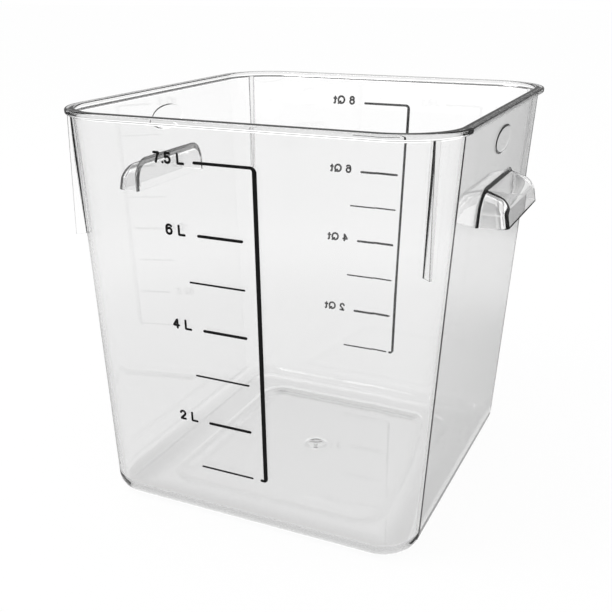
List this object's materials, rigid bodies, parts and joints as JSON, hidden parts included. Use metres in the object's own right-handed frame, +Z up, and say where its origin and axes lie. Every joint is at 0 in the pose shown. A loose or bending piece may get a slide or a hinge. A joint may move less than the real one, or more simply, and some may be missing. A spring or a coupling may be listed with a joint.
{
  "type": "food storage container",
  "caption": "Square clear plastic tub for food storage, with tapered walls, a flanged rim, a hooded grip on two sides, fins at the corners and printed litre and quart scales.",
  "frame": {"origin": "centre of the face that the tub stands on", "axes": "+Z up through the open top; -Y towards the wall with the litre scale; the grips are on the -X and +X walls"},
  "size_m": [0.2314, 0.2288, 0.2205],
  "materials": {
    "clear_polycarbonate": "clear, polished",
    "black_ink": "screen-printed ink"
  },
  "bodies": {
    "root": {"tub": "clear_polycarbonate", "litre_scale_line": "black_ink", "litre_mark_1": "black_ink", "litre_mark_2": "black_ink", "litre_mark_3": "black_ink", "litre_mark_4": "black_ink", "litre_mark_5": "black_ink", "litre_mark_6": "black_ink", "quart_scale_line": "black_ink", "quart_mark_1": "black_ink", "quart_mark_2": "black_ink", "quart_mark_3": "black_ink", "quart_mark_4": "black_ink", "quart_mark_5": "black_ink", "quart_mark_6": "black_ink", "quart_mark_7": "black_ink"}
  },
  "joints": []
}
